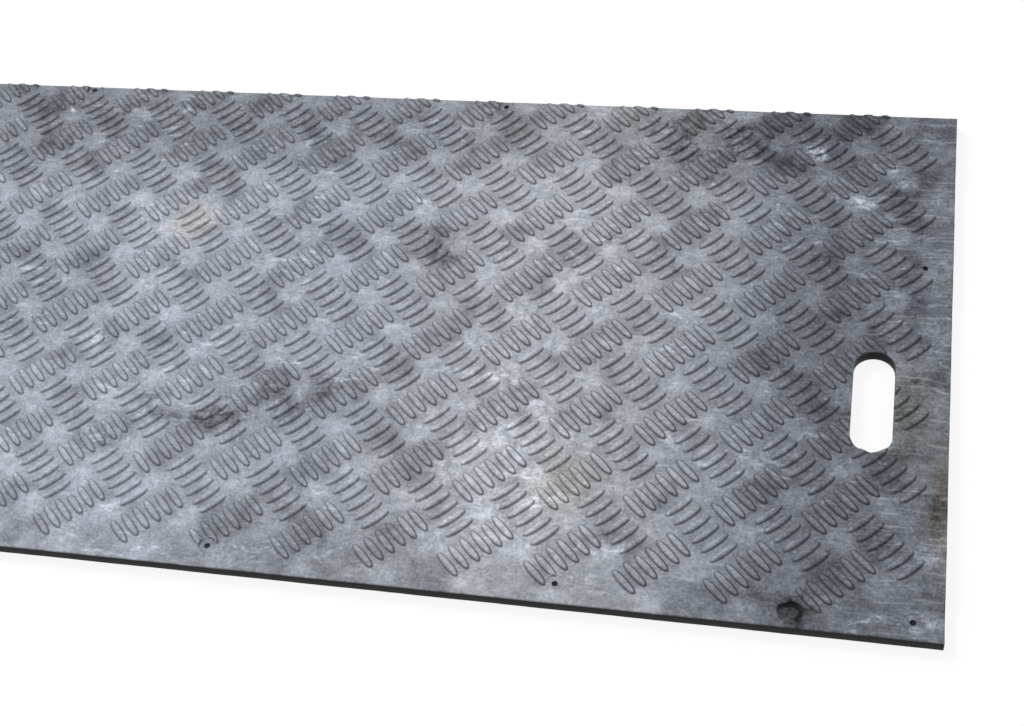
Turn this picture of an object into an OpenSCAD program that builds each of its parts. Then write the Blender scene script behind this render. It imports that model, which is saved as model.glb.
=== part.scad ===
// Ground protection mat: one moulded plastic sheet with a raised tread and a hand hole at each end.
// Frame: origin at the middle of the underside, +X along the mat, +Y across it, +Z up.

/* [Mat] */
// Length of the mat
mat_length = 2440; // [1830:10:3050]
// Width of the mat
mat_width = 610; // [500:5:900]
// Thickness of the sheet under the tread
sheet_thickness = 12.7; // [9:0.1:20]
// Radius of the moulded edges
edge_radius = 1; // [0.3:0.1:3]

/* [Hand holes] */
// Width of a hand hole, along the mat
grip_width = 38; // [30:1:50]
// Length of a hand hole from end to end, across the mat
grip_length = 115; // [90:1:150]
// Middle of a hand hole from the end of the mat
grip_inset = 68; // [50:1:120]
// Middle of a hand hole from the moulded long edge
grip_from_edge = 245; // [150:1:300]
// Bevel round a hand hole, on both faces
grip_bevel = 0.6; // [0.2:0.1:2]

/* [Screw prints] */
// Diameter of the flat round print of a mould screw
print_d = 17; // [10:0.5:22]
// Depth of the print
print_depth = 0.5; // [0.2:0.1:1]
// Diameter of the pit at the middle of a print
pit_d = 6; // [3:0.5:9]
// Depth of the pit
pit_depth = 2; // [1:0.1:4]

/* [Hidden] */
$fn = 48;
cut = 1;
mat_black = [0.22, 0.23, 0.24];

// Prints of the mould screws: distance from the end of the mat, distance from the moulded long edge
screw_prints = [[26, 17], [26, 408], [331, 20], [657, 23], [467, 603], [947, 605]];

// Section of the sheet over a span, with all four corners rounded, its underside on the axis
module rounded_section(span) {
    translate([0, sheet_thickness / 2])
        union() {
            square([span - 2 * edge_radius, sheet_thickness], center = true);
            square([span, sheet_thickness - 2 * edge_radius], center = true);
            for (x = [-1, 1], y = [-1, 1])
                translate([x * (span / 2 - edge_radius), y * (sheet_thickness / 2 - edge_radius)])
                    circle(r = edge_radius);
        }
}

// Both ends and the moulded long edge are rounded. The other long edge was sawn and is square.
module sheet() {
    intersection() {
        rotate([90, 0, 0])
            linear_extrude(mat_width, center = true)
                rounded_section(mat_length);
        translate([0, edge_radius, 0])
            rotate([90, 0, 90])
                linear_extrude(mat_length, center = true)
                    rounded_section(mat_width + 2 * edge_radius);
    }
}

module slot(width, length, height) {
    linear_extrude(height)
        union() {
            square([width, length - width], center = true);
            for (side = [-1, 1])
                translate([0, side * (length - width) / 2])
                    circle(d = width);
        }
}

// Widens a slot's mouth at 45 degrees, from the slot's own width at the bevel's foot
module slot_bevel(width, length, bevel) {
    height = bevel + cut;
    translate([0, 0, sheet_thickness - bevel]) {
        rotate([90, 0, 0])
            linear_extrude(length - width, center = true)
                polygon([
                    [-width / 2, 0], [width / 2, 0], [width / 2 + height, height], [-width / 2 - height, height]
                ]);
        for (side = [-1, 1])
            translate([0, side * (length - width) / 2, 0])
                cylinder(d1 = width, d2 = width + 2 * height, h = height);
    }
}

module hand_hole() {
    translate([mat_length / 2 - grip_inset, grip_from_edge - mat_width / 2, 0]) {
        translate([0, 0, -cut])
            slot(grip_width, grip_length, sheet_thickness + 2 * cut);
        slot_bevel(grip_width, grip_length, grip_bevel);
        translate([0, 0, sheet_thickness])
            mirror([0, 0, 1])
                slot_bevel(grip_width, grip_length, grip_bevel);
    }
}

module screw_print(place) {
    translate([mat_length / 2 - place[0], place[1] - mat_width / 2, sheet_thickness]) {
        translate([0, 0, -print_depth])
            cylinder(d = print_d, h = print_depth + cut);
        translate([0, 0, -pit_depth])
            cylinder(d = pit_d, h = pit_depth + cut);
    }
}

// One end's hand hole and prints, repeated as a mirror image at the other end
module end_cuts() {
    hand_hole();
    for (place = screw_prints)
        screw_print(place);
}

module mat() {
    color(mat_black)
        difference() {
            sheet();
            end_cuts();
            mirror([1, 0, 0])
                end_cuts();
        }
}

mat();
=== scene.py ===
import math
import random

import bmesh
import bpy
from mathutils import Matrix, Vector


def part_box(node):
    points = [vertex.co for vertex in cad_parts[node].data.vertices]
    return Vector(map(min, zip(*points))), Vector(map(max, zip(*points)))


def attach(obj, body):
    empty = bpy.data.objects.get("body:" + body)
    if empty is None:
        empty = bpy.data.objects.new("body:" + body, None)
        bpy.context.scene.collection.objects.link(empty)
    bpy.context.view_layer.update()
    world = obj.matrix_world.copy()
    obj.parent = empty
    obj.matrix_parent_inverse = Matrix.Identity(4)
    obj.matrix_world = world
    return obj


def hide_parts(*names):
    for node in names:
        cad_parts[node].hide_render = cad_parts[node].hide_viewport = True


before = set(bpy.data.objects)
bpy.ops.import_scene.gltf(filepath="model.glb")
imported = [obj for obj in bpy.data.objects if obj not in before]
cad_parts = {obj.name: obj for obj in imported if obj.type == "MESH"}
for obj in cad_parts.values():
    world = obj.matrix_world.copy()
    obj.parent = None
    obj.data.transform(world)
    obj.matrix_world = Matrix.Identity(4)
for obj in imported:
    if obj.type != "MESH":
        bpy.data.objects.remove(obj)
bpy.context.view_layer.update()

random.seed(12)

# Sizes in metres, the same as in the part's source
SHEET_THICKNESS = 0.0127
GRIP_WIDTH = 0.038
GRIP_LENGTH = 0.115
GRIP_INSET = 0.068
GRIP_FROM_EDGE = 0.245
PRINT_D = 0.017
PRINT_DEPTH = 0.0005
PIT_D = 0.006
PIT_DEPTH = 0.002
SCREW_PRINTS = (
    (0.026, 0.017), (0.026, 0.408), (0.331, 0.020),
    (0.657, 0.023), (0.467, 0.603), (0.947, 0.605),
)

# Tread: clusters of bars on a square lattice, each second cluster turned the other way
CLUSTER_PITCH = 0.0792
END_TO_CLUSTER = 0.0515
EDGE_TO_CLUSTER = 0.0895
CLUSTER_COLUMNS = 30
CLUSTER_ROWS = 7
BARS = 6
BAR_STEP = 0.0123
BAR_LENGTH = 0.0284
BAR_WIDTH = 0.0055
BAR_HEIGHT = 0.0017
# Share of its full height that the most worn bar keeps
LOWEST_BAR = 0.94

# Outline of a bar: a rounded lens, and its profile as (growth of the outline, height,
# grime and painted shade at the foot)
BAR_POINTS = 16
LENS_POWER = 2.3
BAR_PROFILE = (
    (0.0026, 0.00003, 0.0),
    (0.0010, 0.00010, 1.0),
    (0.0000, 0.00120, 0.5),
    (-0.0011, BAR_HEIGHT, 0.0),
)
# Grime and painted shade at the foot, as the middle share and its swing of painted shadow
# towards the side turned from the light
RISING_GRIME_AND_SHADE = (0.66, 0.22)
FALLING_GRIME_AND_SHADE = (0.88, 0.12)
# Share of a bar's tone that is the same all over its cluster
CLUSTER_TONE = 0.6

# Edges: the moulded ones are rounded and the sawn one is nearly sharp
EDGE_ROUND = 0.0010
SAWN_SHARE = 0.25
HOLE_ROUND = 0.0006
EDGE_STEPS = 3
EDGE_WOBBLE = 0.0003
WOBBLE_STEP = 0.012
# Waves of the uneven edges: turns along X and Y in radians a metre, shift, share
EDGE_WAVES = ((61, 37, 1, 0.6), (233, -151, 2, 0.4))

# A ring-shaped gouge in the margin, placed by its distance from the end and the moulded long edge
GOUGE_PLACE = (0.127, 0.014)
GOUGE_RADIUS = 0.0092
GOUGE_WIDTH = 0.0062
GOUGE_DEPTH = 0.0026

# Smooth shading: edges sharper than these angles stay sharp, and faces this level stay flat
SHEET_ANGLE = 35
BAR_ANGLE = 50
SHEET_LEVEL = 0.9999

# Tone of the dusty top, as a grey before gamma: on most of the sheet, and at the shown end
TONE_LEFT = 0.602
TONE_RIGHT = 0.449
DARKEST_TONE = 0.12
GAMMA = 2.2
# Colours that the tone is multiplied with, and the plastic under the dust
COOL_DUST = (0.915, 0.990, 1.15, 1)
WARM_DUST = (0.965, 0.998, 1.075, 1)
BARE_PLASTIC = (0.011, 0.012, 0.013, 1)
# Share of the dust that the bars' sides and the sheet's other faces keep
BAR_SIDE_DUST = 0.80
SHEET_SIDE_DUST = 0.008
# Share of the dust taken away at a bar's foot by grime and painted shade, far from the shown end
# and near it
FOOT_GRIME_AND_SHADE_LEFT = 0.702
FOOT_GRIME_AND_SHADE_RIGHT = 0.90
# Distances from the shown end between which the tone, the scratches, the cooler dust and the grime
# and painted shade at the bars' feet change, and the middle of the warm band
TONE_FADE = (0.25, 0.11)
SCRATCH_FADE = (0.12, 0.03)
COOL_FADE = (0.24, 0.10)
GRIME_AND_SHADE_FADE = (0.75, 0.15)
WARM_BAND = 0.38
# Depths under the top at which the dust is gone and whole
DUST_DEPTHS = (0.0022, 0.0002)
# Unevenness of the dust: features a metre, reach in tone, detail, roughness
GRAIN = ((330, 0.070, 2, 0.5), (120, 0.040, 2, 0.5), (46, 0.055, 3, 0.6))

# Camera: the photograph is a crop, so its optical axis lies left of its middle
IMAGE_WIDTH = 1024
FOCAL_PX = 1840.3
AXIS_PX = 358
SENSOR_WIDTH = 36
CAMERA_PLACE = (1.1059, -1.0974, 1.4334)
TILT, LEAN, TURN = 37.06, 11.13, 5.11

# Studio: one large lamp, a pale sky and a floor just under the sheet
LAMP_PLACE = (-2.8, 3.3, 4.4)
LAMP_AIM = (0.5, 0, 0)
LAMP_SIZE = 2.4
LAMP_POWER = 350
SKY_STRENGTH = 0.70
FLOOR_REACH = 30
FLOOR_LEVEL = -0.0002
FLOOR_GLOW = 0.86

box_low, box_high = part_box("mat")
LEFT, RIGHT = box_low[0], box_high[0]
NEAR, FAR = box_low[1], box_high[1]
TOP = SHEET_THICKNESS


def new_object(name, data):
    """An object of the given mesh, lamp or camera, linked into the scene."""
    piece = bpy.data.objects.new(name, data)
    bpy.context.scene.collection.objects.link(piece)
    return piece


def hand_holes():
    """Middles of the two hand holes."""
    return [(side * (RIGHT - GRIP_INSET), NEAR + GRIP_FROM_EDGE) for side in (1, -1)]


def print_places():
    """Middles of the screw prints at both ends."""
    return [(side * (RIGHT - x), NEAR + y) for side in (1, -1) for x, y in SCREW_PRINTS]


def slot_outline(centre, width, length, steps=12):
    """Points round a slot with half-round ends, its long axis along Y."""
    radius = width / 2
    straight = length / 2 - radius
    points = []
    for side in (1, -1):
        for k in range(steps + 1):
            turn = math.pi * k / steps + (0 if side == 1 else math.pi)
            x = centre[0] + radius * math.cos(turn)
            y = centre[1] + side * straight + radius * math.sin(turn)
            points.append((x, y))
    return points


def circle_outline(centre, radius, steps=24):
    """Points round a circle."""
    turns = [2 * math.pi * k / steps for k in range(steps)]
    return [(centre[0] + radius * math.cos(a), centre[1] + radius * math.sin(a)) for a in turns]


def wobble(x, y, shift):
    """Small unevenness of a moulded edge, between -1 and 1."""
    return sum(share * math.sin(a * x + b * y + n * shift) for a, b, n, share in EDGE_WAVES)


def sheet_outline(inset):
    """The sheet's rectangle, a little uneven, moved inwards by inset and less at the sawn edge."""
    low_x, high_x = LEFT + inset, RIGHT - inset
    low_y, high_y = NEAR + inset, FAR - inset * SAWN_SHARE
    corners = [(low_x, low_y), (high_x, low_y), (high_x, high_y), (low_x, high_y)]
    inward = [(0, 1), (-1, 0), (0, -1), (1, 0)]
    points = []
    for side, (start, end) in enumerate(zip(corners, corners[1:] + corners[:1])):
        span = math.dist(start, end)
        count = int(span / WOBBLE_STEP)
        for k in range(count):
            x = start[0] + (end[0] - start[0]) * k / count
            y = start[1] + (end[1] - start[1]) * k / count
            push = EDGE_WOBBLE * (wobble(x, y, side) * 0.5 + 0.5) * (0 if k == 0 else 1)
            points.append((x + inward[side][0] * push, y + inward[side][1] * push))
    return points


def edge_profile(radius):
    """Inset and height of a rounded edge's steps, from the underside up."""
    turns = [k * math.pi / 2 / EDGE_STEPS for k in range(EDGE_STEPS + 1)]
    low = [(radius * (1 - math.sin(a)), radius * (1 - math.cos(a))) for a in turns]
    high = [(inset, SHEET_THICKNESS - z) for inset, z in reversed(low)]
    return low + high


def wall(mesh, outlines, heights, inwards):
    """Walls through a row of like outlines at the given heights. Returns the rows of vertices."""
    rows = [
        [mesh.verts.new((x, y, z)) for x, y in outline]
        for outline, z in zip(outlines, heights)
    ]
    count = len(rows[0])
    for low, high in zip(rows, rows[1:]):
        for k in range(count):
            m = (k + 1) % count
            face = (low[k], low[m], high[m], high[k])
            mesh.faces.new(face[::-1] if inwards else face)
    return rows


def fill_between(mesh, rows, upwards):
    """Fills the flat face that lies between closed rows of vertices."""
    edges = []
    for row in rows:
        for k, vert in enumerate(row):
            edges.append(mesh.edges.get((vert, row[(k + 1) % len(row)])))
    made = bmesh.ops.triangle_fill(mesh, use_beauty=True, use_dissolve=False, edges=edges)
    for face in [f for f in made["geom"] if isinstance(f, bmesh.types.BMFace)]:
        face.normal_update()
        if (face.normal.z > 0) != upwards:
            face.normal_flip()


def sheet_mesh():
    """The sheet with its two hand holes, all edges rounded."""
    mesh = bmesh.new()
    profile = edge_profile(EDGE_ROUND)
    outer = wall(mesh, [sheet_outline(i) for i, _ in profile], [z for _, z in profile], False)
    bottoms, tops = [outer[0]], [outer[-1]]
    profile = edge_profile(HOLE_ROUND)
    for centre in hand_holes():
        outlines = [
            slot_outline(centre, GRIP_WIDTH + 2 * i, GRIP_LENGTH + 2 * i) for i, _ in profile
        ]
        hole = wall(mesh, outlines, [z for _, z in profile], True)
        bottoms.append(hole[0])
        tops.append(hole[-1])
    fill_between(mesh, bottoms, False)
    fill_between(mesh, tops, True)
    made = bpy.data.meshes.new("sheet")
    mesh.to_mesh(made)
    mesh.free()
    return made


def closed_stack(mesh, outlines, heights):
    """A closed solid through a row of like outlines."""
    rows = wall(mesh, outlines, heights, False)
    mesh.faces.new(rows[0][::-1])
    mesh.faces.new(rows[-1])


def cutter_object(name, fill):
    """A mesh object that a boolean cuts with, filled in by the given function."""
    mesh = bmesh.new()
    fill(mesh)
    made = bpy.data.meshes.new(name)
    mesh.to_mesh(made)
    mesh.free()
    return new_object(name, made)


def gouge_cutter(mesh):
    """An uneven ring-shaped gouge in the margin, deepest on its far side."""
    rounds, sides = 28, 8
    loops = []
    for k in range(rounds):
        turn = 2 * math.pi * k / rounds
        depth = GOUGE_DEPTH * (0.7 + 0.3 * math.sin(turn + 0.3))
        middle = GOUGE_RADIUS * (1 + 0.08 * math.sin(3 * turn) + 0.05 * math.sin(5 * turn + 1))
        loop = []
        for m in range(sides):
            side = 2 * math.pi * m / sides
            radius = middle + GOUGE_WIDTH / 2 * math.cos(side)
            z = TOP + GOUGE_WIDTH / 2 - depth + GOUGE_WIDTH / 2 * math.sin(side)
            x = RIGHT - GOUGE_PLACE[0] + radius * math.cos(turn)
            y = NEAR + GOUGE_PLACE[1] + radius * math.sin(turn)
            loop.append(mesh.verts.new((x, y, z)))
        loops.append(loop)
    for k in range(rounds):
        this, following = loops[k], loops[(k + 1) % rounds]
        for m in range(sides):
            n = (m + 1) % sides
            mesh.faces.new((this[m], following[m], following[n], this[n]))


def print_cutters(mesh):
    """Shallow dishes with a pit in the middle."""
    over = 0.001
    pit_floor, dish_floor = PIT_D * 0.38, PRINT_D * 0.48
    rings = [
        (pit_floor, -PIT_DEPTH), (PIT_D / 2, -PRINT_DEPTH), (dish_floor, -PRINT_DEPTH),
        (PRINT_D / 2, 0), (PRINT_D / 2, over),
    ]
    for place in print_places():
        closed_stack(
            mesh, [circle_outline(place, r) for r, _ in rings], [TOP + z for _, z in rings]
        )


def tread_cutters(mesh):
    """What the tread leaves free: the hand holes and the screw prints."""
    heights = (TOP - 0.002, TOP + 0.01)
    for centre in hand_holes():
        closed_stack(mesh, [slot_outline(centre, GRIP_WIDTH, GRIP_LENGTH)] * 2, heights)
    for place in print_places():
        closed_stack(mesh, [circle_outline(place, PRINT_D / 2)] * 2, heights)


def subtract(piece, cutter):
    """Cuts the cutter out of the piece and deletes the cutter."""
    modifier = piece.modifiers.new("cut", "BOOLEAN")
    modifier.operation = "DIFFERENCE"
    modifier.solver = "EXACT"
    modifier.object = cutter
    bpy.context.view_layer.update()
    depsgraph = bpy.context.evaluated_depsgraph_get()
    old = piece.data
    piece.data = bpy.data.meshes.new_from_object(piece.evaluated_get(depsgraph))
    piece.modifiers.clear()
    bpy.data.objects.remove(cutter)
    bpy.data.meshes.remove(old)


def lens_outline(growth):
    """A rounded lens about the origin, its long axis along X, grown by growth."""
    half_length, half_width = BAR_LENGTH / 2 + growth, BAR_WIDTH / 2 + growth
    points = []
    for k in range(BAR_POINTS):
        turn = 2 * math.pi * k / BAR_POINTS
        c, s = math.cos(turn), math.sin(turn)
        x = math.copysign(abs(c) ** (2 / LENS_POWER), c) * half_length
        y = math.copysign(abs(s) ** (2 / LENS_POWER), s) * half_width
        points.append((x, y))
    return points


def clusters(turned):
    """Middles of the clusters of one direction."""
    half = 0.5 if turned else 0
    rows = range(-1, CLUSTER_ROWS) if turned else range(CLUSTER_ROWS)
    return [
        (RIGHT - END_TO_CLUSTER - (column + half) * CLUSTER_PITCH,
         NEAR + EDGE_TO_CLUSTER + (row + half) * CLUSTER_PITCH)
        for column in range(CLUSTER_COLUMNS)
        for row in rows
    ]


def bar_places(turned):
    """Middle, angle and tone of every bar of one direction that reaches onto the sheet."""
    angle = math.radians(-45 if turned else 45)
    across = (-math.sin(angle), math.cos(angle))
    places = []
    for x, y in clusters(turned):
        shade = random.uniform(0, 1)
        for k in range(BARS):
            step = (k - (BARS - 1) / 2) * BAR_STEP
            place = (x + across[0] * step, y + across[1] * step)
            if place[1] < FAR + BAR_LENGTH / 2:
                own = random.uniform(0, 1)
                places.append((place, angle, CLUSTER_TONE * shade + (1 - CLUSTER_TONE) * own))
    return places


def tread_mesh(places, name, turned):
    """All bars at the given places in one mesh, with a value of grime and painted shade and a tone
    on each vertex.
    """
    verts, faces, foot_grime_and_shade, tone = [], [], [], []
    outlines = [lens_outline(growth) for growth, _, _ in BAR_PROFILE]
    share, swing = FALLING_GRIME_AND_SHADE if turned else RISING_GRIME_AND_SHADE
    # How far each outline point lies on the side turned from the light, for painted shadow
    shaded = [2 * x / BAR_LENGTH if turned else -2 * y / BAR_WIDTH for x, y in lens_outline(0)]
    for (x, y), angle, shade in places:
        c, s = math.cos(angle), math.sin(angle)
        start = len(verts)
        lift = random.uniform(LOWEST_BAR, 1.0)
        for outline, (_, height, grime_and_shade) in zip(outlines, BAR_PROFILE):
            for (px, py), lee in zip(outline, shaded):
                verts.append((x + c * px - s * py, y + s * px + c * py, TOP + height * lift))
                # Grime at the foot plus painted shade, most on the side turned from the light
                foot_grime_and_shade.append(grime_and_shade * (share + swing * lee))
                tone.append(shade)
        for level in range(len(outlines) - 1):
            low = start + level * BAR_POINTS
            high = low + BAR_POINTS
            for k in range(BAR_POINTS):
                m = (k + 1) % BAR_POINTS
                faces.append((low + k, low + m, high + m, high + k))
        faces.append(tuple(range(high, high + BAR_POINTS)))
        faces.append(tuple(range(start + BAR_POINTS - 1, start - 1, -1)))
    mesh = bpy.data.meshes.new(name)
    mesh.from_pydata(verts, [], faces)
    for label, values in (("foot_grime_and_shade", foot_grime_and_shade), ("tone", tone)):
        layer = mesh.attributes.new(label, "FLOAT", "POINT")
        layer.data.foreach_set("value", values)
    return mesh


def near_cut(place):
    """Does a bar at this place touch a hand hole or a screw print?"""
    reach = BAR_LENGTH / 2 + BAR_PROFILE[0][0]
    for x, y in hand_holes():
        beside = abs(place[0] - x) < GRIP_WIDTH / 2 + reach
        if beside and abs(place[1] - y) < GRIP_LENGTH / 2 + reach:
            return True
    return any(math.dist(place, p) < PRINT_D / 2 + reach for p in print_places())


def saw(mesh):
    """Cuts the bars off at the sawn edge and closes the cut faces."""
    work = bmesh.new()
    work.from_mesh(mesh)
    made = bmesh.ops.bisect_plane(
        work,
        geom=work.verts[:] + work.edges[:] + work.faces[:],
        plane_co=(0, FAR - EDGE_WOBBLE, 0),
        plane_no=(0, 1, 0),
        clear_outer=True,
    )
    rim = [e for e in made["geom_cut"] if isinstance(e, bmesh.types.BMEdge)]
    bmesh.ops.holes_fill(work, edges=rim)
    work.to_mesh(mesh)
    work.free()


def smooth(piece, angle, level=2.0):
    """Smooth shading that keeps sharp edges, and keeps faces as level as the level flat."""
    for face in piece.data.polygons:
        face.use_smooth = abs(face.normal.z) < level
    piece.data.set_sharp_from_angle(angle=math.radians(angle))


def tread_piece(name, turned):
    """One direction's bars as one piece, cut away at the holes, the prints and the sawn edge."""
    places = bar_places(turned)
    whole = [p for p in places if not near_cut(p[0])]
    touched = [p for p in places if near_cut(p[0])]
    piece = new_object(name, tread_mesh(whole, name, turned))
    cut = new_object(name + "_cut", tread_mesh(touched, name + "_cut", turned))
    subtract(cut, cutter_object("tread_cutter", tread_cutters))
    work = bmesh.new()
    work.from_mesh(piece.data)
    work.from_mesh(cut.data)
    work.to_mesh(piece.data)
    work.free()
    bpy.data.objects.remove(cut)
    saw(piece.data)
    smooth(piece, BAR_ANGLE)
    return piece


class Graph:
    """Shader nodes of one material, added and linked by short calls."""

    def __init__(self, name):
        self.material = bpy.data.materials.new(name)
        self.material.use_nodes = True
        self.tree = self.material.node_tree
        self.shader = self.tree.nodes["Principled BSDF"]

    def add(self, kind, values=(), **settings):
        """A node with its settings, and a value or a link for each input named or numbered."""
        node = self.tree.nodes.new(kind)
        for key, value in settings.items():
            setattr(node, key, value)
        for key, value in dict(values).items():
            self.put(node.inputs[key], value)
        return node

    def put(self, socket, value):
        """Links a socket to another's output, or sets it."""
        if isinstance(value, bpy.types.NodeSocket):
            self.tree.links.new(value, socket)
        else:
            socket.default_value = value

    def math(self, operation, a, b=0.0, clamp=False):
        """Output of a math node."""
        node = self.add("ShaderNodeMath", {0: a, 1: b}, operation=operation, use_clamp=clamp)
        return node.outputs[0]

    def vector(self, operation, a, b=(0, 0, 0)):
        """Output of a vector math node."""
        node = self.add("ShaderNodeVectorMath", {0: a, 1: b}, operation=operation)
        return node.outputs["Value" if operation == "LENGTH" else "Vector"]

    def scaled(self, vector, factor):
        """A vector times a number."""
        return self.vector("MULTIPLY", vector, (factor, factor, factor))

    def mix(self, factor, low, high):
        """From the number low to the number high by the factor."""
        return self.add("ShaderNodeMix", {"Factor": factor, 2: low, 3: high}).outputs[0]

    def blend(self, factor, low, high):
        """From the colour low to the colour high by the factor."""
        values = {"Factor": factor, 6: low, 7: high}
        return self.add("ShaderNodeMix", values, data_type="RGBA").outputs[2]

    def ramp(self, value, low, high, to_low=0.0, to_high=1.0):
        """The value mapped smoothly from low..high to to_low..to_high, held at the ends."""
        node = self.add(
            "ShaderNodeMapRange",
            {0: value, 1: low, 2: high, 3: to_low, 4: to_high},
            interpolation_type="SMOOTHSTEP",
        )
        return node.outputs[0]

    def noise(self, place, scale, detail, rough=0.55):
        """Noise between 0 and 1, scale in features per metre."""
        values = {"Vector": place, "Scale": scale, "Detail": detail, "Roughness": rough}
        return self.add("ShaderNodeTexNoise", values).outputs["Fac"]

    def swing(self, place, scale, reach, detail, rough):
        """Noise about zero, from about -reach to reach."""
        centred = self.math("SUBTRACT", self.noise(place, scale, detail, rough), 0.5)
        return self.math("MULTIPLY", centred, 4 * reach)

    def total(self, values):
        """Sum of many values."""
        values = list(values)
        result = values[0]
        for value in values[1:]:
            result = self.math("ADD", result, value)
        return result


# Wear and dirt on the top: distance from the shown end, distance from the moulded long edge,
# half size along, half size across, change of tone, raggedness
STAINS = (
    (1.00, 0.57, 0.60, 0.100, -0.090, 0.3),
    (0.60, 0.60, 0.90, 0.100, -0.060, 0.4),
    (0.98, 0.49, 0.13, 0.055, -0.050, 0.5),
    (0.38, 0.33, 0.100, 0.30, 0.055, 0.6),
    (0.40, 0.12, 0.085, 0.12, 0.100, 0.5),
    (0.815, 0.34, 0.060, 0.17, 0.045, 0.6),
    (0.95, 0.090, 0.32, 0.130, 0.060, 0.2),
    (0.57, 0.020, 0.13, 0.060, -0.075, 0.4),
    (0.93, 0.33, 0.12, 0.090, -0.060, 0.5),
    (0.78, 0.53, 0.10, 0.060, -0.035, 0.5),
    (0.165, 0.165, 0.050, 0.080, 0.055, 0.5),
    (0.130, 0.025, 0.120, 0.050, -0.045, 0.4),
    (0.497, 0.395, 0.018, 0.036, -0.17, 0.5),
    (0.490, 0.372, 0.010, 0.015, -0.10, 0.5),
    (0.585, 0.216, 0.026, 0.017, -0.18, 0.5),
    (0.700, 0.165, 0.070, 0.017, -0.20, 0.7),
    (0.635, 0.190, 0.065, 0.034, -0.10, 0.7),
    (0.790, 0.138, 0.045, 0.024, -0.13, 0.7),
    (0.660, 0.130, 0.030, 0.030, -0.06, 0.8),
    (0.220, 0.560, 0.130, 0.060, -0.08, 0.4),
    (0.270, 0.550, 0.090, 0.065, -0.08, 0.6),
    (0.190, 0.330, 0.200, 0.330, -0.03, 0.5),
    (0.086, 0.490, 0.018, 0.017, 0.22, 0.6),
    (0.112, 0.488, 0.008, 0.006, 0.16, 0.9),
    (0.140, 0.555, 0.014, 0.012, 0.32, 0.9),
    (0.050, 0.515, 0.022, 0.009, 0.13, 1.0),
    (0.068, 0.533, 0.018, 0.007, 0.12, 1.0),
    (0.060, 0.470, 0.016, 0.008, 0.12, 1.0),
    (0.958, 0.570, 0.005, 0.005, 0.28, 0.2),
    (0.028, 0.268, 0.009, 0.005, -0.12, 0.5),
    (0.038, 0.215, 0.020, 0.035, -0.06, 0.5),
    (0.010, 0.145, 0.013, 0.050, -0.13, 0.7),
    (0.016, 0.080, 0.016, 0.020, 0.09, 1.0),
    (0.335, 0.125, 0.035, 0.040, -0.04, 0.7),
    (0.020, 0.020, 0.020, 0.010, 0.10, 1.0),
    (0.127, 0.015, 0.019, 0.015, -0.22, 0.4),
    (0.310, 0.555, 0.022, 0.016, 0.12, 0.7),
    (0.830, 0.430, 0.020, 0.024, 0.08, 0.8),
    (0.775, 0.419, 0.028, 0.032, 0.04, 0.5),
    (0.845, 0.250, 0.020, 0.012, 0.14, 1.0),
    (0.895, 0.330, 0.014, 0.020, 0.10, 1.0),
    (0.745, 0.175, 0.020, 0.008, 0.15, 1.0),
    (0.440, 0.240, 0.050, 0.008, 0.10, 1.0),
    (0.350, 0.105, 0.030, 0.010, 0.12, 1.0),
    (0.305, 0.060, 0.030, 0.010, 0.10, 1.0),
)
# Coloured dirt: the same places and sizes, then a colour and how much of it
EARTH = (
    (0.036, 0.235, 0.026, 0.070, (0.90, 0.98, 0.90, 1), 0.7),
    (0.008, 0.140, 0.012, 0.075, (1.00, 0.93, 0.82, 1), 0.9),
    (0.335, 0.125, 0.035, 0.040, (1.02, 0.97, 0.92, 1), 0.6),
    (0.775, 0.419, 0.030, 0.034, (1.07, 1.01, 0.96, 1), 0.6),
)


def stain_mask(graph, place, a, b, half_a, half_b):
    """One soft blot, 1 in its middle and 0 outside."""
    centre = (RIGHT - a, NEAR + b, 0)
    offset = graph.vector("SUBTRACT", place, centre)
    span = graph.vector("LENGTH", graph.vector("DIVIDE", offset, (half_a, half_b, 1)))
    return graph.ramp(span, 1.3, 0.1)


def grey(graph, level):
    """A vector with the level three times."""
    return graph.add("ShaderNodeCombineXYZ", {0: level, 1: level, 2: level}).outputs[0]


def open_flats(graph, flat):
    """1 on the open flats between four clusters of bars, 0 on the clusters."""
    turns = graph.vector("SUBTRACT", flat, (RIGHT - END_TO_CLUSTER, NEAR + EDGE_TO_CLUSTER, 0))
    turns = graph.scaled(turns, 2 * math.pi / CLUSTER_PITCH)
    axes = graph.add("ShaderNodeSeparateXYZ", {0: turns}).outputs
    along, across = graph.math("COSINE", axes["X"]), graph.math("COSINE", axes["Y"])
    return graph.ramp(graph.math("MULTIPLY", along, across), 0.1, -1.0)


def towards_end(graph, xyz, fade, start, end):
    """From start to end between two distances from the shown end."""
    return graph.ramp(xyz["X"], RIGHT - fade[0], RIGHT - fade[1], start, end)


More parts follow.
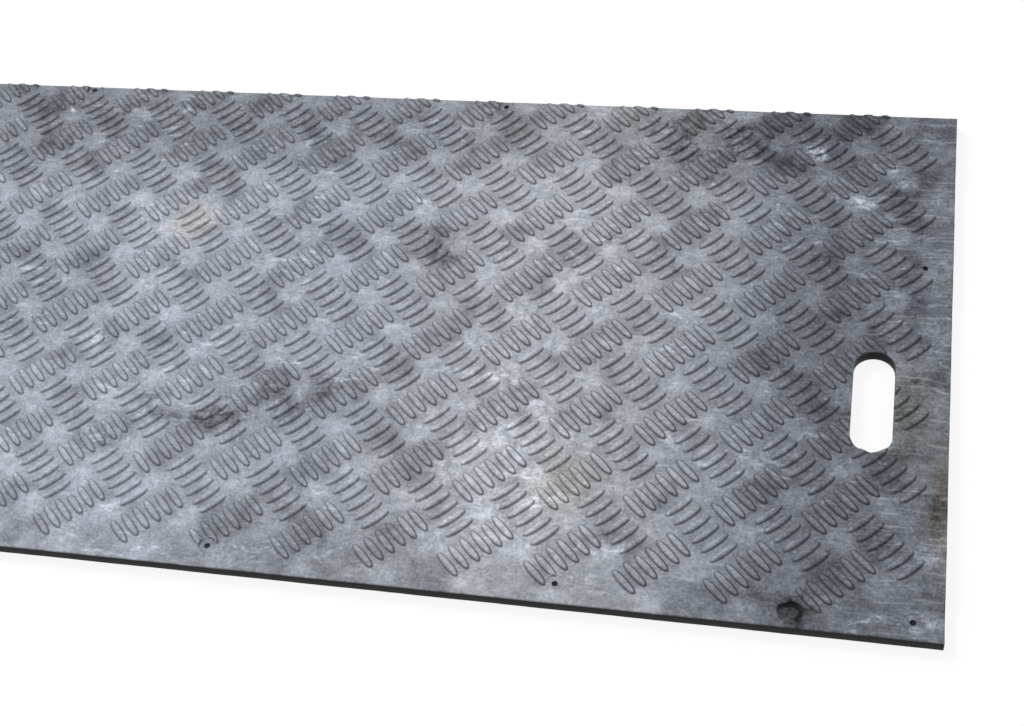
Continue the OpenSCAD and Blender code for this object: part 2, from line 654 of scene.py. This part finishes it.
def dust_tone(graph, flat, xyz, stray):
    """Place bent out of true for soft blots, and how pale the dusty top is, as a tone."""
    bend = graph.scaled(graph.vector("SUBTRACT", stray, (0.5, 0.5, 0.5)), 0.05)
    bent = graph.vector("MULTIPLY", graph.vector("ADD", flat, bend), (1, 1, 0))
    rag = graph.noise(flat, 95, 4, 0.7)
    ragged = graph.ramp(rag, 0.42, 0.62, 0.1, 1.5)
    tones = [towards_end(graph, xyz, TONE_FADE, TONE_LEFT, TONE_RIGHT)]
    for a, b, half_a, half_b, change, rough in STAINS:
        mask = graph.math("MULTIPLY", stain_mask(graph, bent, a, b, half_a, half_b), change)
        tones.append(graph.math("MULTIPLY", mask, graph.mix(rough, 1.0, ragged)))
    for scale, reach, detail, rough in GRAIN:
        tones.append(graph.swing(flat, scale, reach, detail, rough))
    # Pale smears here and there
    smears = graph.noise(graph.vector("MULTIPLY", bent, (30, 95, 0)), 1, 3, 0.6)
    smeared = graph.ramp(graph.noise(flat, 6, 1), 0.44, 0.60)
    tones.append(graph.math("MULTIPLY", graph.ramp(smears, 0.55, 0.72, 0.0, 0.15), smeared))
    # Long scratches, most of them at the shown end
    swept = graph.vector("ADD", flat, graph.scaled(bend, 0.25))
    lines = graph.noise(graph.vector("MULTIPLY", swept, (22, 280, 0)), 1, 3)
    worn_end = towards_end(graph, xyz, SCRATCH_FADE, 0.2, 1.0)
    tones.append(graph.math("MULTIPLY", graph.ramp(lines, 0.50, 0.74, 0.0, 0.13), worn_end))
    # Pale flats between the clusters, dark patches on the clusters, and pale specks
    flats = open_flats(graph, flat)
    tones.append(graph.math("MULTIPLY", flats, graph.ramp(rag, 0.35, 0.65, 0.01, 0.085)))
    patches = graph.ramp(graph.noise(flat, 15, 2), 0.48, 0.66, 0.0, -0.085)
    tones.append(graph.math("MULTIPLY", graph.math("SUBTRACT", 1.0, flats), patches))
    tones.append(graph.ramp(graph.noise(flat, 150, 1), 0.70, 0.80, 0.0, 0.12))
    # Each bar is a little paler or darker than the next
    bar_tone = graph.add("ShaderNodeAttribute", attribute_name="tone").outputs["Fac"]
    tones.append(graph.math("MULTIPLY", graph.math("SUBTRACT", bar_tone, 0.7), 0.05))
    return bent, graph.math("MAXIMUM", graph.total(tones), DARKEST_TONE)


def dust_tint(graph, bent, xyz, stray):
    """Colour of the dust: warm in a band across the sheet and cooler on both sides of it."""
    drift = graph.ramp(graph.add("ShaderNodeSeparateXYZ", {0: stray}).outputs["Z"], 0.35, 0.65)
    drift = graph.math("MULTIPLY", graph.math("SUBTRACT", drift, 0.5), 0.35)
    from_band = graph.math("ABSOLUTE", graph.math("SUBTRACT", xyz["X"], RIGHT - WARM_BAND))
    cool = graph.ramp(from_band, 0.04, 0.22, 0.25, 0.80)
    cool = graph.math("ADD", cool, towards_end(graph, xyz, COOL_FADE, 0.0, 0.45))
    cool = graph.math("ADD", cool, drift, clamp=True)
    tint = graph.blend(cool, WARM_DUST, COOL_DUST)
    for a, b, half_a, half_b, colour, amount in EARTH:
        mask = graph.math("MULTIPLY", stain_mask(graph, bent, a, b, half_a, half_b), amount)
        tint = graph.blend(mask, tint, colour)
    return tint


def dust_share(graph, xyz):
    """How much dust covers the plastic: most on top, less on the sides, and less at the bars' feet
    where grime and painted shade take it away.
    """
    normal = graph.add("ShaderNodeNewGeometry").outputs["Normal"]
    upward = graph.ramp(graph.add("ShaderNodeSeparateXYZ", {0: normal}).outputs["Z"], 0.05, 0.92)
    on_top = graph.ramp(xyz["Z"], TOP - DUST_DEPTHS[0], TOP - DUST_DEPTHS[1])
    on_sides = graph.mix(on_top, SHEET_SIDE_DUST, BAR_SIDE_DUST)
    # Painted shade and grime at the bars' feet take the dust away, more near the shown end
    foot_grime_and_shade = graph.add("ShaderNodeAttribute", attribute_name="foot_grime_and_shade").outputs["Fac"]
    grime_and_shade_strength = towards_end(graph, xyz, GRIME_AND_SHADE_FADE, FOOT_GRIME_AND_SHADE_LEFT, FOOT_GRIME_AND_SHADE_RIGHT)
    clean_and_unshaded = graph.math("SUBTRACT", 1.0, graph.math("MULTIPLY", foot_grime_and_shade, grime_and_shade_strength))
    return graph.math("MULTIPLY", graph.mix(upward, on_sides, on_top), clean_and_unshaded)


def plastic():
    """Black plastic under grey dust, which steep faces keep less of and which grime and painted
    shade take away at the foot of each bar.
    """
    graph = Graph("dusty_plastic")
    place = graph.add("ShaderNodeTexCoord").outputs["Object"]
    xyz = graph.add("ShaderNodeSeparateXYZ", {0: place}).outputs
    flat = graph.vector("MULTIPLY", place, (1, 1, 0))
    values = {"Vector": flat, "Scale": 20.0, "Detail": 4.0}
    stray = graph.add("ShaderNodeTexNoise", values).outputs["Color"]
    bent, tone = dust_tone(graph, flat, xyz, stray)
    tint = dust_tint(graph, bent, xyz, stray)
    dusty = graph.vector("MULTIPLY", tint, grey(graph, graph.math("POWER", tone, GAMMA)))
    dust = dust_share(graph, xyz)
    mixed = graph.blend(dust, BARE_PLASTIC, dusty)
    graph.put(graph.shader.inputs["Base Color"], mixed)
    graph.put(graph.shader.inputs["Roughness"], graph.ramp(dust, 0, 1, 0.5, 0.78))
    graph.shader.inputs["Specular IOR Level"].default_value = 0.09

    height = graph.noise(place, 260, 2, 0.5)
    bump = graph.add("ShaderNodeBump", {"Height": height, "Strength": 0.3, "Distance": 0.0008})
    graph.put(graph.shader.inputs["Normal"], bump.outputs[0])
    return graph.material


def pale_floor():
    """A pale floor that looks nearly white to the camera and keeps the object's shadow."""
    graph = Graph("pale_floor")
    graph.shader.inputs["Base Color"].default_value = (0.88, 0.88, 0.88, 1)
    graph.shader.inputs["Roughness"].default_value = 0.9
    rays = graph.add("ShaderNodeLightPath").outputs
    seen = graph.math("MAXIMUM", rays["Is Camera Ray"], rays["Is Glossy Ray"])
    seen = graph.math("MAXIMUM", seen, rays["Is Transmission Ray"])
    white = graph.add("ShaderNodeEmission", {"Color": (1, 1, 1, 1), "Strength": 1.0}).outputs[0]
    share = graph.math("MULTIPLY", seen, FLOOR_GLOW)
    mixed = graph.add("ShaderNodeMixShader", {0: share, 1: graph.shader.outputs[0], 2: white})
    graph.put(graph.tree.nodes["Material Output"].inputs["Surface"], mixed.outputs[0])
    return graph.material


sheet = new_object("mat_sheet", sheet_mesh())
subtract(sheet, cutter_object("print_cutter", print_cutters))
subtract(sheet, cutter_object("gouge_cutter", gouge_cutter))
smooth(sheet, SHEET_ANGLE, SHEET_LEVEL)
tread_rising = tread_piece("mat_tread_rising", False)
tread_falling = tread_piece("mat_tread_falling", True)
mat_plastic = plastic()
for piece in (sheet, tread_rising, tread_falling):
    piece.data.materials.clear()
    piece.data.materials.append(mat_plastic)
    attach(piece, "root")
    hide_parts("mat")

camera_data = bpy.data.cameras.new("camera")
camera_data.sensor_width = SENSOR_WIDTH
camera_data.lens = FOCAL_PX / IMAGE_WIDTH * SENSOR_WIDTH
camera_data.shift_x = 0.5 - AXIS_PX / IMAGE_WIDTH
camera = new_object("camera", camera_data)
camera.matrix_world = (
    Matrix.Translation(CAMERA_PLACE)
    @ Matrix.Rotation(math.radians(TURN), 4, "Z")
    @ Matrix.Rotation(math.radians(TILT), 4, "X")
    @ Matrix.Rotation(math.radians(LEAN), 4, "Y")
)
bpy.context.scene.camera = camera

corners = [(-1, -1), (1, -1), (1, 1), (-1, 1)]
floor_mesh = bpy.data.meshes.new("floor")
floor_mesh.from_pydata(
    [(x * FLOOR_REACH, y * FLOOR_REACH, FLOOR_LEVEL) for x, y in corners], [], [(0, 1, 2, 3)]
)
floor_mesh.materials.append(pale_floor())
new_object("floor", floor_mesh)

world = bpy.data.worlds.new("studio")
world.use_nodes = True
sky = world.node_tree.nodes["Background"]
sky.inputs["Color"].default_value = (1, 1, 1, 1)
sky.inputs["Strength"].default_value = SKY_STRENGTH
bpy.context.scene.world = world

lamp_data = bpy.data.lights.new("key", "AREA")
lamp_data.size = LAMP_SIZE
lamp_data.energy = LAMP_POWER
lamp = new_object("key", lamp_data)
lamp.location = LAMP_PLACE
aim = Vector(LAMP_AIM) - Vector(LAMP_PLACE)
lamp.rotation_euler = aim.to_track_quat("-Z", "Y").to_euler()
bpy.context.scene.view_settings.view_transform = "Standard"
